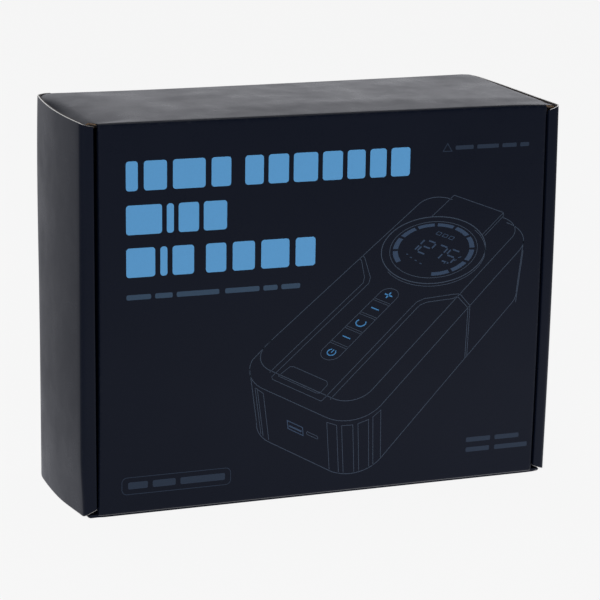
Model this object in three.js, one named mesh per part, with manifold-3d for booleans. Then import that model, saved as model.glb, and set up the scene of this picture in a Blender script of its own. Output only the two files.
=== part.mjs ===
// Boxed jump starter pack, in millimetres, +Z up.
// A printed corrugated mailer carton stands on its long tuck side. Its lid hangs from a crease at the top
// front edge and carries a tuck flap and two side flaps. Inside, a foam insert holds the jump starter with
// its air pump, an accessory carton and the manual.
// The pack is laid out lying on its base: x across, y from the tuck wall to the hinge wall, z up to the lid.
// The whole group is then turned to stand on the tuck wall, with the lid facing -Y.

import * as THREE from "three";
import { mergeVertices } from "three/addons/utils/BufferGeometryUtils.js";
import Module from "manifold-3d";

const wasm = await Module();
wasm.setup();

// ---- Driving dimensions ----

const WIDTH = 250;
const HEIGHT = 198;
const DEPTH = 97;
const BOARD = 1.5; // thickness of the fluted board
const GAP = 0.3; // clearance kept between separate pieces
const ROLL = 6; // width of the rolled edge of each double side wall
const LID_CLEARANCE = 1.8; // lid edge to rolled edge
const ROLL_BEVEL = 4.5; // how much shorter the inner side of a rolled edge is at each end
const TUCK_DEPTH = 28;
const TUCK_LEAN = 5; // degrees that the tuck flap leans inwards
const SIDE_FLAP_DEPTH = 24;
const TAB_LENGTH = 30;
const TAB_PLACES = [60, 140];

const FOAM_TOP = 58;
const UNIT = { length: 200, width: 90, height: 52, radius: 22, wall: 2.4, split: 43.5 };
const UNIT_PLACE = { x: -7, y: 142, z: 12 };
const ACCESSORY = { length: 192, width: 72, height: 42, y: 48, board: 1 };

const SCREEN = { x: 40, radius: 28.4 };
const KEYS = { names: ["power", "light", "mode", "minus", "plus"], first: -66, pitch: 14, width: 12 };
const SOCKET = { y: -9, z: 13, width: 26, height: 11 };
const USB = { z: 23, a: 1, c: -13 };
const SIDE_GROOVE = { x: 16.5, width: 3, depth: 0.8 };
const MOTOR = { y: -22, z: 24, radius: 12 };
const GEAR_MODULE = 0.8;
const PINION_TEETH = 12;
const CRANK_TEETH = 48;
const CRANK_THROW = 6;
const PISTON_X = 61;

const HALF = WIDTH / 2;
const INNER_FACE = HALF - ROLL;
const LID_HALF = INNER_FACE - LID_CLEARANCE;
const WALL_HALF = HALF - BOARD - GAP; // half length of the hinge and tuck walls
const LID_UNDER = DEPTH - BOARD;
const LID_END = BOARD + 0.4; // y of the lid's tuck edge
const CREASE_Y = LID_END + BOARD; // inner corner of the crease between lid and tuck flap

// ---- Materials ----

const finish = (color, roughness, metalness = 0) =>
  new THREE.MeshStandardMaterial({ color, roughness, metalness });
const printedBoard = finish(0x171b26, 0.45);
const kraftBoard = finish(0x9a7448, 0.85);
const whiteFoam = finish(0xe9eaea, 0.9);
const whiteCard = finish(0xdcdcd8, 0.7);
const paper = finish(0xefeee9, 0.8);
const casingPlastic = finish(0x1c1f24, 0.5);
const glossPlastic = finish(0x0b0d10, 0.15);
const gripRubber = finish(0x2a3038, 0.8);
const screenGlass = finish(0x0a0c10, 0.05);
const keyPlastic = finish(0x2b333d, 0.55);
const lampPlastic = finish(0xd8dde2, 0.2);
const steel = finish(0xb9bcc0, 0.3, 1);
const brass = finish(0xc9a24a, 0.35, 1);
const cellWrap = finish(0x2f6fb4, 0.4);
const circuitBoard = finish(0x1d5a3a, 0.5);
const pumpPlastic = finish(0xd7d4c8, 0.6);

// ---- Solid helpers ----

function toSolid(geometry) {
  const bare = geometry.index ? geometry.toNonIndexed() : geometry.clone();
  bare.deleteAttribute("normal");
  bare.deleteAttribute("uv");
  const merged = mergeVertices(bare, 1e-4);
  const vertProperties = merged.attributes.position.array;
  const triVerts = Uint32Array.from(merged.index.array);
  const solid = new wasm.Manifold(new wasm.Mesh({ numProp: 3, vertProperties, triVerts }));
  if (solid.volume() >= 0) return solid;
  return new wasm.Manifold(new wasm.Mesh({ numProp: 3, vertProperties, triVerts: triVerts.reverse() }));
}

function fromSolid(solid) {
  const made = solid.getMesh();
  return new THREE.BufferGeometry()
    .setAttribute("position", new THREE.BufferAttribute(made.vertProperties, 3))
    .setIndex(new THREE.BufferAttribute(made.triVerts, 1));
}

const cut = (geometry, ...tools) =>
  fromSolid(tools.reduce((solid, tool) => solid.subtract(toSolid(tool)), toSolid(geometry)));

const join = (...geometries) => fromSolid(geometries.map(toSolid).reduce((a, b) => a.add(b)));

function block([x0, x1], [y0, y1], [z0, z1]) {
  const box = new THREE.BoxGeometry(x1 - x0, y1 - y0, z1 - z0);
  return box.translate((x0 + x1) / 2, (y0 + y1) / 2, (z0 + z1) / 2);
}

function extrude(shape, depth) {
  return new THREE.ExtrudeGeometry(shape, { depth, bevelEnabled: false, curveSegments: 10 });
}

const slab = (shape, [z0, z1]) => extrude(shape, z1 - z0).translate(0, 0, z0);

// The shape is drawn in y and z, and extruded along x.
function acrossX(shape, [x0, x1]) {
  const turn = new THREE.Matrix4().makeBasis(
    new THREE.Vector3(0, 1, 0),
    new THREE.Vector3(0, 0, 1),
    new THREE.Vector3(1, 0, 0),
  );
  return extrude(shape, x1 - x0).applyMatrix4(turn).translate(x0, 0, 0);
}

// The shape is drawn in x and z, and extruded along y.
const acrossY = (shape, [y0, y1]) => extrude(shape, y1 - y0).rotateX(Math.PI / 2).translate(0, y1, 0);

const polygon = (...points) => new THREE.Shape(points.map(([x, y]) => new THREE.Vector2(x, y)));

// A rectangle with round corners, anticlockwise, as points.
function roundedOutline(length, width, radius, segments = 6) {
  const corners = [[1, 1], [-1, 1], [-1, -1], [1, -1]];
  return corners.flatMap(([sx, sy], corner) =>
    Array.from({ length: segments + 1 }, (_, k) => {
      const angle = ((corner + k / segments) * Math.PI) / 2;
      return new THREE.Vector2(
        sx * (length / 2 - radius) + radius * Math.cos(angle),
        sy * (width / 2 - radius) + radius * Math.sin(angle),
      );
    }),
  );
}

const roundedShape = (length, width, radius, segments) =>
  new THREE.Shape(roundedOutline(length, width, radius, segments));

// A closed skin through rounded rectangles at each [z, inset].
function loft({ length, width, radius }, levels) {
  const rings = levels.map(([z, inset]) =>
    roundedOutline(length - 2 * inset, width - 2 * inset, radius - inset).map((p) => [p.x, p.y, z]),
  );
  const count = rings[0].length;
  const index = [];
  for (let level = 1; level < rings.length; level++) {
    for (let i = 0; i < count; i++) {
      const [a, b] = [i, (i + 1) % count].map((k) => k + (level - 1) * count);
      index.push(a, b, b + count, a, b + count, a + count);
    }
  }
  const top = (rings.length - 1) * count;
  for (let i = 1; i < count - 1; i++) {
    index.push(0, i + 1, i, top, top + i, top + i + 1);
  }
  return new THREE.BufferGeometry()
    .setAttribute("position", new THREE.Float32BufferAttribute(rings.flat(2), 3))
    .setIndex(index);
}

// A turned piece on the z axis, from [radius, z] points that close on themselves or on the axis.
function turned(profile, segments = 24) {
  const points = profile.map(([r, z]) => new THREE.Vector2(r, z));
  return new THREE.LatheGeometry(points, segments).rotateX(Math.PI / 2);
}

function rod(radius, [z0, z1], segments = 16) {
  return turned([[0, z0], [radius, z0], [radius, z1], [0, z1]], segments);
}

const alongX = (geometry) => geometry.rotateY(Math.PI / 2);
const alongY = (geometry) => geometry.rotateX(-Math.PI / 2);

const pack = new THREE.Group();
const unit = new THREE.Group();

function add(parent, name, geometry, material) {
  const mesh = new THREE.Mesh(fromSolid(toSolid(geometry)), material);
  mesh.name = name;
  parent.add(mesh);
  return mesh;
}

// ---- Carton ----

// Base panel, with two slots a side for the tabs of the inner walls.
function basePanel() {
  const slotX = INNER_FACE + BOARD / 2;
  const slots = [-1, 1].flatMap((side) =>
    TAB_PLACES.map((y) =>
      block(
        [side * slotX - BOARD / 2 - GAP, side * slotX + BOARD / 2 + GAP],
        [y - TAB_LENGTH / 2 - GAP, y + TAB_LENGTH / 2 + GAP],
        [-1, BOARD + 1],
      ),
    ),
  );
  const panel = block([-WALL_HALF, WALL_HALF], [BOARD + GAP, HEIGHT - BOARD - GAP], [0, BOARD]);
  return cut(panel, ...slots);
}

// Hinge wall. Its top is mitred, so that it meets the lid on the outer liner, which is the hinge line.
function hingeWall() {
  const back = 0.2;
  const profile = polygon(
    [HEIGHT - BOARD, 0],
    [HEIGHT, 0],
    [HEIGHT, DEPTH - back],
    [HEIGHT - BOARD, LID_UNDER - back],
  );
  return acrossX(profile, [-WALL_HALF, WALL_HALF]);
}

// Lid, mitred at the hinge and rounded over at the tuck edge.
function lidPanel() {
  const back = 0.2;
  const profile = new THREE.Shape();
  profile.moveTo(CREASE_Y, LID_UNDER);
  profile.lineTo(HEIGHT - BOARD - back, LID_UNDER);
  profile.lineTo(HEIGHT - back, DEPTH);
  profile.lineTo(CREASE_Y, DEPTH);
  profile.absarc(CREASE_Y, LID_UNDER, BOARD, Math.PI / 2, Math.PI, false);
  return acrossX(profile, [-LID_HALF, LID_HALF]);
}

// Tuck flap, with tapered ends, hanging from the crease and leaning inwards.
function tuckFlap() {
  const outline = polygon(
    [-LID_HALF + 3, -GAP],
    [LID_HALF - 3, -GAP],
    [LID_HALF - 6, -TUCK_DEPTH * 0.6],
    [LID_HALF - 16, -TUCK_DEPTH],
    [-LID_HALF + 16, -TUCK_DEPTH],
    [-LID_HALF + 6, -TUCK_DEPTH * 0.6],
  );
  return acrossY(outline, [-BOARD, 0])
    .rotateX(THREE.MathUtils.degToRad(TUCK_LEAN))
    .translate(0, CREASE_Y, LID_UNDER);
}

function lidSideFlap(side) {
  const outline = polygon(
    [30, LID_UNDER - GAP],
    [42, LID_UNDER - SIDE_FLAP_DEPTH],
    [158, LID_UNDER - SIDE_FLAP_DEPTH],
    [172, LID_UNDER - GAP],
  );
  const x = side * (LID_HALF - BOARD / 2);
  return acrossX(outline, [x - BOARD / 2, x + BOARD / 2]);
}

// The rolled edge's ends are bevelled, which leaves a small three-cornered hole at each corner.
function rolledEdge(side) {
  const outline = polygon(
    [side * HALF, BOARD + GAP],
    [side * HALF, HEIGHT - BOARD - GAP],
    [side * INNER_FACE, HEIGHT - BOARD - GAP - ROLL_BEVEL],
    [side * INNER_FACE, BOARD + GAP + ROLL_BEVEL],
  );
  return slab(outline, [LID_UNDER, DEPTH]);
}

// Inner wall, with tabs that reach down through the base panel's slots.
function innerWall(side) {
  const near = BOARD + GAP + ROLL_BEVEL;
  const foot = BOARD + GAP;
  const tabs = [...TAB_PLACES].reverse().flatMap((y) => [
    [y + TAB_LENGTH / 2, foot],
    [y + TAB_LENGTH / 2 - 2, 0.2],
    [y - TAB_LENGTH / 2 + 2, 0.2],
    [y - TAB_LENGTH / 2, foot],
  ]);
  const outline = polygon(
    [near, foot],
    [near, LID_UNDER - GAP],
    [HEIGHT - near, LID_UNDER - GAP],
    [HEIGHT - near, foot],
    ...tabs,
  );
  const x = side * (INNER_FACE + BOARD / 2);
  return acrossX(outline, [x - BOARD / 2, x + BOARD / 2]);
}

// Corner flap of the hinge wall or tuck wall, folded in between the two layers of a side wall.
function cornerFlap(side, wall) {
  const reach = 58;
  const low = BOARD + GAP + 0.5;
  const high = LID_UNDER - 7;
  const root = wall === "hinge" ? HEIGHT - BOARD - GAP : BOARD + GAP;
  const tip = wall === "hinge" ? root - reach : root + reach;
  const shoulder = (root + tip) / 2;
  const outline = polygon([root, low], [root, high], [shoulder, high], [tip, high - 8], [tip, low + 4]);
  const x = side * (HALF - ROLL / 2);
  return acrossX(outline, [x - BOARD / 2, x + BOARD / 2]);
}

function buildCarton() {
  add(pack, "base_panel", basePanel(), printedBoard);
  add(pack, "hinge_wall", hingeWall(), printedBoard);
  const tuckWall = block([-WALL_HALF, WALL_HALF], [0, BOARD], [0, DEPTH - 0.4]);
  add(pack, "tuck_wall", tuckWall, printedBoard);
  add(pack, "lid_panel", lidPanel(), printedBoard);
  add(pack, "lid_tuck_flap", tuckFlap(), printedBoard);
  for (const [word, side] of [["left", -1], ["right", 1]]) {
    const outer = side * (HALF - BOARD / 2);
    const sideWall = block([outer - BOARD / 2, outer + BOARD / 2], [0, HEIGHT], [0, LID_UNDER - GAP]);
    add(pack, `side_wall_${word}`, sideWall, printedBoard);
    add(pack, `rolled_edge_${word}`, rolledEdge(side), printedBoard);
    add(pack, `inner_wall_${word}`, innerWall(side), kraftBoard);
    add(pack, `lid_side_flap_${word}`, lidSideFlap(side), printedBoard);
    add(pack, `hinge_corner_flap_${word}`, cornerFlap(side, "hinge"), kraftBoard);
    add(pack, `tuck_corner_flap_${word}`, cornerFlap(side, "tuck"), kraftBoard);
  }
}

// ---- Insert, accessory carton and manual ----

function foamInsert() {
  const over = FOAM_TOP + 1;
  const floor = UNIT_PLACE.z - GAP;
  const edge = 116;
  const unitPocket = slab(roundedShape(UNIT.length + 7, UNIT.width + 4, UNIT.radius + 2), [floor, over])
    .translate(UNIT_PLACE.x + 1.5, UNIT_PLACE.y, 0);
  const accessoryPocket = slab(roundedShape(ACCESSORY.length + 6, ACCESSORY.width + 4, 4), [floor, over])
    .translate(0, ACCESSORY.y, 0);
  const coverY = UNIT_PLACE.y + SOCKET.y;
  const coverRoom = block([90, edge - 2], [coverY - 18, coverY + 18], [floor + 2, over]);
  const fingerRoom = [-46, 46].map((x) => rod(15, [24, over], 24).translate(x, 90, 0));
  const body = slab(roundedShape(2 * edge, HEIGHT - 8, 3), [BOARD + GAP, FOAM_TOP])
    .translate(0, HEIGHT / 2, 0);
  return cut(body, unitPocket, accessoryPocket, coverRoom, ...fingerRoom);
}

function buildInsert() {
  add(pack, "foam_insert", foamInsert(), whiteFoam);

  const { length, width, height, y, board } = ACCESSORY;
  const z = UNIT_PLACE.z;
  const tube = cut(
    block([-length / 2, length / 2], [y - width / 2, y + width / 2], [z, z + height]),
    block(
      [-length, length],
      [y - width / 2 + board, y + width / 2 - board],
      [z + board, z + height - board],
    ),
  );
  add(pack, "accessory_sleeve", tube, whiteCard);
  for (const [word, side] of [["left", -1], ["right", 1]]) {
    const outer = side * (length / 2 - 0.5);
    const end = block(
      [Math.min(outer, outer - side * board), Math.max(outer, outer - side * board)],
      [y - width / 2 + board + GAP, y + width / 2 - board - GAP],
      [z + board + GAP, z + height - board - GAP],
    );
    add(pack, `accessory_end_${word}`, end, whiteCard);
  }

  const manualFloor = z + height + GAP;
  const leaf = 0.4;
  const cover = cut(
    block([-70, 70], [y - 34, y + 34], [manualFloor, manualFloor + 2.6]),
    block([-69.6, 71], [y - 35, y + 35], [manualFloor + leaf, manualFloor + 2.6 - leaf]),
  );
  add(pack, "manual_cover", cover, paper);
  const pages = block([-69.2, 69.6], [y - 33.6, y + 33.6], [manualFloor + 0.6, manualFloor + 2]);
  add(pack, "manual_pages", pages, paper);
}

// ---- Jump starter: x along it towards the screen end, y across, z up from its underside ----

const UNIT_END = UNIT.length / 2;
const FACE_TOP = UNIT.height + 0.6;
const FACE_FLOOR = UNIT.height - 1;

// Four shallow upright recesses round each of the two front corners of the lower casing.
function cornerRecesses() {
  const reach = UNIT.length / 2 - UNIT.radius;
  const across = UNIT.width / 2 - UNIT.radius;
  return [-1, 1].flatMap((side) =>
    [9, 33, 57, 81].map((degrees) =>
      block([UNIT.radius - 0.9, UNIT.radius + 4], [-3.4, 3.4], [5, UNIT.split - 3.5])
        .rotateZ(Math.PI - side * THREE.MathUtils.degToRad(degrees))
        .translate(-reach, side * across, 0),
    ),
  );
}

// A groove down both sides, where the pump housing meets the battery housing.
function sideGrooves([z0, z1]) {
  const { x, width, depth } = SIDE_GROOVE;
  const near = UNIT.width / 2 - depth;
  return [-1, 1].map((side) =>
    block([x - width / 2, x + width / 2], side < 0 ? [-near - 9, -near] : [near, near + 9], [z0, z1]),
  );
}

function lowerCasing() {
  const { wall, split } = UNIT;
  const outer = loft(UNIT, [[0, 3], [0.9, 0.9], [3, 0], [split, 0]]);
  const hollow = loft(UNIT, [[wall, wall + 1], [wall + 2, wall], [split + 1, wall]]);
  const usbA = block([-UNIT_END - 1, -UNIT_END + 6], [USB.a - 7.3, USB.a + 7.3], [USB.z - 3.6, USB.z + 3.6]);
  const usbC = slab(roundedShape(9.8, 4, 1.9), [-1, 6])
    .applyMatrix4(new THREE.Matrix4().makeRotationY(Math.PI / 2))
    .rotateX(Math.PI / 2)
    .translate(-UNIT_END, USB.c, USB.z);
  const socket = block(
    [UNIT_END - 6, UNIT_END + 1],
    [SOCKET.y - SOCKET.width / 2, SOCKET.y + SOCKET.width / 2],
    [SOCKET.z - SOCKET.height / 2, SOCKET.z + SOCKET.height / 2],
  );
  const outlet = alongX(rod(5.3, [UNIT_END - 6, UNIT_END + 1])).translate(0, 14, 15);
  const screws = screwPlaces().map(([x, y]) => rod(1.9, [-1, 8], 10).translate(x, y, 0));
  const heads = screwPlaces().map(([x, y]) => rod(3.4, [-1, 1.6], 12).translate(x, y, 0));
  const grooves = [...cornerRecesses(), ...sideGrooves([-1, split + 1])];
  return cut(outer, hollow, usbA, usbC, socket, outlet, ...screws, ...heads, ...grooves);
}

const screwPlaces = () => [-1, 1].flatMap((sx) => [-1, 1].map((sy) => [sx * 82, sy * 33]));

const keyRow = () => KEYS.names.map((name, i) => ({ name, x: KEYS.first + i * KEYS.pitch }));

// The window that the row of keys sits in: a slot with round ends.
function keyWindow(grow, levels) {
  const row = keyRow();
  const middle = (row[0].x + row[row.length - 1].x) / 2;
  const length = row.length * KEYS.pitch + 2 * grow;
  const width = KEYS.width + 2 * grow;
  return slab(roundedShape(length, width, width / 2 - 0.01), levels).translate(middle, 0, 0);
}

const lampWindow = (grow, levels) =>
  slab(roundedShape(8 + 2 * grow, 26 + 2 * grow, 2 + grow, 3), levels).translate(-84.5, 0, 0);

// Outline of the glossy band: a strip that widens into a disc round the screen.
function bandShape(grow) {
  const radius = 38.5 + grow;
  const half = 19 + grow;
  const join = THREE.MathUtils.degToRad(135);
  const shape = new THREE.Shape();
  shape.moveTo(-91 - grow, -half);
  shape.lineTo(-6, -half);
  shape.lineTo(SCREEN.x + radius * Math.cos(join), -radius * Math.sin(join));
  shape.absarc(SCREEN.x, 0, radius, -join, join, false);
  shape.lineTo(-6, half);
  shape.lineTo(-91 - grow, half);
  return shape;
}

// Outline of a grip pad beside the band; side is 1 or -1 across the unit.
function gripShape(side, grow) {
  const corner = 15.5 + grow;
  const points = [[-7, 22 - grow], [4 + grow, 28 - grow], [11 + 2 * grow, 37.5 + grow]];
  for (let k = 0; k <= 6; k++) {
    const angle = Math.PI / 2 + (k * Math.PI) / 12;
    points.push([-73 + corner * Math.cos(angle), 22 + corner * Math.sin(angle)]);
  }
  points.push([-88.5 - grow, 22 - grow]);
  return polygon(...points.map(([x, y]) => [x, side * y]));
}

function upperCasing() {
  const { wall, split, height } = UNIT;
  const outer = loft(UNIT, [[split + GAP, 0], [46.2, 0.7], [49, 2.6], [51, 4.9], [height, 6.8]]);
  const hollow = loft(UNIT, [[split, wall], [46, wall + 0.7], [height - 2.5, 7.5]]);
  const through = [height - 6, height + 2];
  return cut(
    outer,
    hollow,
    rod(SCREEN.radius + 2.6, through, 48).translate(SCREEN.x, 0, 0),
    slab(bandShape(GAP), [FACE_FLOOR, height + 2]),
    slab(gripShape(1, GAP), [FACE_FLOOR, height + 2]),
    slab(gripShape(-1, GAP), [FACE_FLOOR, height + 2]),
    keyWindow(GAP, through),
    lampWindow(GAP, through),
    ...sideGrooves([split, 46.2]),
  );
}

function facePlate() {
  const levels = [FACE_FLOOR + GAP, FACE_TOP];
  const through = [FACE_FLOOR - 1, FACE_TOP + 1];
  return cut(
    slab(bandShape(0), levels),
    rod(SCREEN.radius + 7, through, 48).translate(SCREEN.x, 0, 0),
    keyWindow(GAP, through),
    lampWindow(GAP, through),
  );
}

function displayBezel() {
  const inner = SCREEN.radius + 0.4;
  const outer = SCREEN.radius + 6.6;
  const profile = [
    [inner, UNIT.height - 3],
    [inner + 1.8, UNIT.height - 3],
    [inner + 1.8, FACE_FLOOR + GAP],
    [outer, FACE_FLOOR + GAP],
    [outer, UNIT.height + 1.4],
    [outer - 1, UNIT.height + 2.4],
    [inner + 1.6, UNIT.height + 2.4],
    [inner, UNIT.height + 1.4],
    [inner, UNIT.height - 3],
  ];
  return turned(profile, 48).translate(SCREEN.x, 0, 0);
}

// A key of the row. The first and last have a round outer end.
function key(index) {
  const { x } = keyRow()[index];
  const levels = [UNIT.height - 3.5, UNIT.height + 1];
  const middle = block([x - KEYS.pitch / 2 + 0.25, x + KEYS.pitch / 2 - 0.25], [-20, 20], levels);
  return fromSolid(toSolid(keyWindow(0, levels)).intersect(toSolid(middle)));
}

// Raised bridge that runs from the band's disc to the far end of the unit, and down over it.
function rearBridge() {
  const end = UNIT_END + GAP;
  const top = UNIT.height + 3;
  const profile = polygon(
    [SCREEN.x + 25, UNIT.height + GAP],
    [end, UNIT.height + GAP],
    [end, 40],
    [end + 2, 40],
    [end + 2, top - 2],
    [end, top],
    [SCREEN.x + 25, top],
  );
  return cut(acrossY(profile, [-20, 20]), rod(38.5 + GAP, [40, 60], 48).translate(SCREEN.x, 0, 0));
}

function usbAPort() {
  const outside = block([-UNIT_END + 0.6, -UNIT_END + 14], [-7, 7], [-3.3, 3.3]);
  const mouth = block([-UNIT_END - 1, -UNIT_END + 12], [-6.4, 6.4], [-2.7, 2.7]);
  const tongue = block([-UNIT_END + 2, -UNIT_END + 13], [-5, 5], [0.7, 2.1]);
  return join(cut(outside, mouth), tongue).translate(0, USB.a, USB.z);
}

function usbCPort() {
  const levels = [0, 9];
  const outline = (grow) => roundedShape(8.9 + 2 * grow, 3.2 + 2 * grow, 1.5 + grow);
  const shell = cut(slab(outline(0), levels), slab(outline(-0.4), [-1, 8]));
  const tongue = block([-3, 3], [-0.4, 0.4], [2, 8.5]);
  return join(shell, tongue)
    .applyMatrix4(new THREE.Matrix4().makeRotationY(Math.PI / 2))
    .rotateX(Math.PI / 2)
    .translate(-UNIT_END + 0.6, USB.c, USB.z);
}

function jumpSocket() {
  const { y, z, width, height } = SOCKET;
  const w = width / 2 - GAP;
  const h = height / 2 - GAP;
  const housing = block([UNIT_END - 16, UNIT_END - 0.4], [y - w, y + w], [z - h, z + h]);
  const mouth = block([UNIT_END - 11, UNIT_END], [y - w + 2, y + w - 2], [z - h + 1.4, z + h - 1.4]);
  const pins = [-5.5, 5.5].map((dy) =>
    alongX(rod(2, [UNIT_END - 12, UNIT_END - 6], 12)).translate(0, y + dy, z),
  );
  return join(cut(housing, mouth), ...pins);
}

function socketCover() {
  const { y, z, width, height } = SOCKET;
  const x = UNIT_END + GAP;
  const leaf = block(
    [x, x + 1.8],
    [y - width / 2 - 2, y + width / 2 + 2],
    [z - height / 2 - 1.5, z + height / 2 + 1.5],
  );
  const pull = block([x + 1, x + 3], [y - 6, y + 6], [z + height / 2 - 1, z + height / 2 + 1.2]);
  return join(leaf, pull);
}

function airOutlet() {
  const profile = [
    [2.2, UNIT_END - 10],
    [4.6, UNIT_END - 10],
    [4.6, UNIT_END - 1],
    [4.9, UNIT_END - 1],
    [4.9, UNIT_END + 1],
    [2.2, UNIT_END + 1],
    [2.2, UNIT_END - 10],
  ];
  return alongX(turned(profile)).translate(0, 14, 15);
}

function gearShape(teeth) {
  const pitch = (teeth * GEAR_MODULE) / 2;
  const root = pitch - 1.0 * GEAR_MODULE;
  const tip = pitch + 0.7 * GEAR_MODULE;
  const step = (2 * Math.PI) / teeth;
  const points = [];
  for (let i = 0; i < teeth; i++) {
    for (const [share, radius] of [[-0.25, root], [-0.11, tip], [0.11, tip], [0.25, root]]) {
      const angle = (i + share) * step;
      points.push([radius * Math.cos(angle), radius * Math.sin(angle)]);
    }
  }
  return polygon(...points);
}

// Compressor: motor, pinion, crank gear and a piston in its cylinder across the unit.
function buildPump() {
  const crankY = MOTOR.y + ((PINION_TEETH + CRANK_TEETH) * GEAR_MODULE) / 2;
  const { z } = MOTOR;
  const motor = cut(
    alongX(turned([[0, 14], [MOTOR.radius, 14], [MOTOR.radius, 40], [5, 40], [5, 42], [0, 42]], 24)),
    alongX(rod(1.6, [34, 44], 12)),
  );
  add(unit, "pump_motor", motor.translate(0, MOTOR.y, z), steel);
  const shaft = alongX(rod(1.2, [35, 54], 12));
  add(unit, "motor_shaft", shaft.translate(0, MOTOR.y, z), steel);
  // The pinion is turned by half a tooth, so that a gap faces the crank gear's tooth.
  const pinion = cut(acrossX(gearShape(PINION_TEETH), [47, 53]), alongX(rod(1.5, [46, 54], 12)));
  pinion.rotateX(Math.PI / PINION_TEETH);
  add(unit, "motor_pinion", pinion.translate(0, MOTOR.y, z), brass);

  const frame = cut(
    block([43, 46], [-37, 16], [5, 43]),
    alongX(rod(5.3, [42, 47])).translate(0, MOTOR.y, z),
    alongX(rod(2.3, [42, 47], 12)).translate(0, crankY, z),
  );
  add(unit, "pump_frame", frame, pumpPlastic);

  const crank = join(
    acrossX(gearShape(CRANK_TEETH), [47.5, 52.5]),
    alongX(rod(2, [43.5, 48], 12)),
    alongX(rod(1.5, [52, 54], 10)).translate(0, 0, CRANK_THROW),
  );
  add(unit, "crank_gear", crank.translate(0, crankY, z), pumpPlastic);

  const barrel = alongY(turned([[6.6, 24], [9, 24], [9, 41], [0, 41], [0, 39], [6.6, 39], [6.6, 24]]));
  add(unit, "pump_cylinder", barrel.translate(PISTON_X, 0, z), steel);
  // The piston is a cup with a lug for the connecting rod, and is stored at the middle of its stroke.
  const piston = join(
    alongY(turned([[0, 29.5], [4.8, 29.5], [4.8, 26.5], [6.4, 26.5], [6.4, 32], [0, 32], [0, 29.5]], 24)),
    block([-1.2, 1.2], [25, 30], [-2, 2]),
  );
  add(unit, "pump_piston", piston.translate(PISTON_X, 0, z), pumpPlastic);
}

function buildUnit() {
  add(unit, "lower_casing", lowerCasing(), casingPlastic);
  add(unit, "upper_casing", upperCasing(), casingPlastic);
  add(unit, "face_plate", facePlate(), glossPlastic);
  for (const [word, side] of [["left", 1], ["right", -1]]) {
    add(unit, `grip_pad_${word}`, slab(gripShape(side, 0), [FACE_FLOOR + GAP, FACE_TOP]), gripRubber);
  }
  add(unit, "display_bezel", displayBezel(), glossPlastic);
  const lens = rod(SCREEN.radius, [UNIT.height - 0.4, UNIT.height + 1.2], 48);
  add(unit, "display_lens", lens.translate(SCREEN.x, 0, 0), screenGlass);
  const screen = rod(SCREEN.radius, [UNIT.height - 3.8, UNIT.height - 0.8], 32);
  add(unit, "display_module", screen.translate(SCREEN.x, 0, 0), glossPlastic);
  KEYS.names.forEach((name, i) => add(unit, `key_${name}`, key(i), keyPlastic));
  add(unit, "key_board", block([-76, 2], [-9, 9], [UNIT.height - 6.5, UNIT.height - 5]), circuitBoard);
  add(unit, "lamp_lens", lampWindow(0, [UNIT.height - 2, FACE_TOP + 0.3]), lampPlastic);
  add(unit, "rear_bridge", rearBridge(), casingPlastic);
  add(unit, "usb_a_port", usbAPort(), steel);
  add(unit, "usb_c_port", usbCPort(), steel);
  add(unit, "jump_socket", jumpSocket(), cellWrap);
  add(unit, "socket_cover", socketCover(), gripRubber);
  add(unit, "air_outlet", airOutlet(), brass);
  for (let i = 0; i < 3; i++) {
    const cell = slab(roundedShape(76, 60, 3, 2), [3.2 + i * 9, 11.6 + i * 9]).translate(-44, 0, 0);
    add(unit, `battery_cell_${i + 1}`, cell, cellWrap);
  }
  add(unit, "main_board", block([-82, 8], [-38, 38], [32, 33.6]), circuitBoard);
  buildPump();
  screwPlaces().forEach(([x, y], i) => {
    const profile = [[0, 0.4], [3, 0.4], [3, 1.2], [1.5, 1.2], [1.5, 12], [0, 12]];
    add(unit, `casing_screw_${i + 1}`, turned(profile, 12).translate(x, y, 0), steel);
  });
}

buildCarton();
buildInsert();
buildUnit();
unit.position.set(UNIT_PLACE.x, UNIT_PLACE.y, UNIT_PLACE.z);
pack.add(unit);

// Stand the pack on its tuck wall, centred over the origin, with the lid towards -Y.
pack.rotation.x = Math.PI / 2;
pack.position.y = DEPTH / 2;

const model = new THREE.Group();
model.add(pack);

export default model;
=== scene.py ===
# Looks of the boxed jump starter pack: a printed mailer carton, closed, with the device inside it.
# The scene is in metres, in the CAD frame; sizes and helpers here are in millimetres.

import bpy
import math
from mathutils import Matrix, Vector


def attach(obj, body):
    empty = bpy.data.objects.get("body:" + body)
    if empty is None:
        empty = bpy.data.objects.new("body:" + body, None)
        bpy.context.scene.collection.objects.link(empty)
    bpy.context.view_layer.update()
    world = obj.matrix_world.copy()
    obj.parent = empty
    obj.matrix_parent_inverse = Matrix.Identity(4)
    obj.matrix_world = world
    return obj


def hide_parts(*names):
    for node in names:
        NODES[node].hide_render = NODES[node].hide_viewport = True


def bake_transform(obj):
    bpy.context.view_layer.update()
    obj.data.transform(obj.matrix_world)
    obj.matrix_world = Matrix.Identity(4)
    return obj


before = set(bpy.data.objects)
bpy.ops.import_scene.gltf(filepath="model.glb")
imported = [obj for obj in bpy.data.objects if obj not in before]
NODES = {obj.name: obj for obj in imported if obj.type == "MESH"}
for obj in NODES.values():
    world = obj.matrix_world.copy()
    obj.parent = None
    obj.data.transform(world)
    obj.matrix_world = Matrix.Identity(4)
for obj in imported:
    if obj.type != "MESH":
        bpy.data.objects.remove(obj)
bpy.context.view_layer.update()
scene = bpy.context.scene
MM = 0.001

# ---- Dimensions of the carton, in millimetres, as in the CAD part ----

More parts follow.
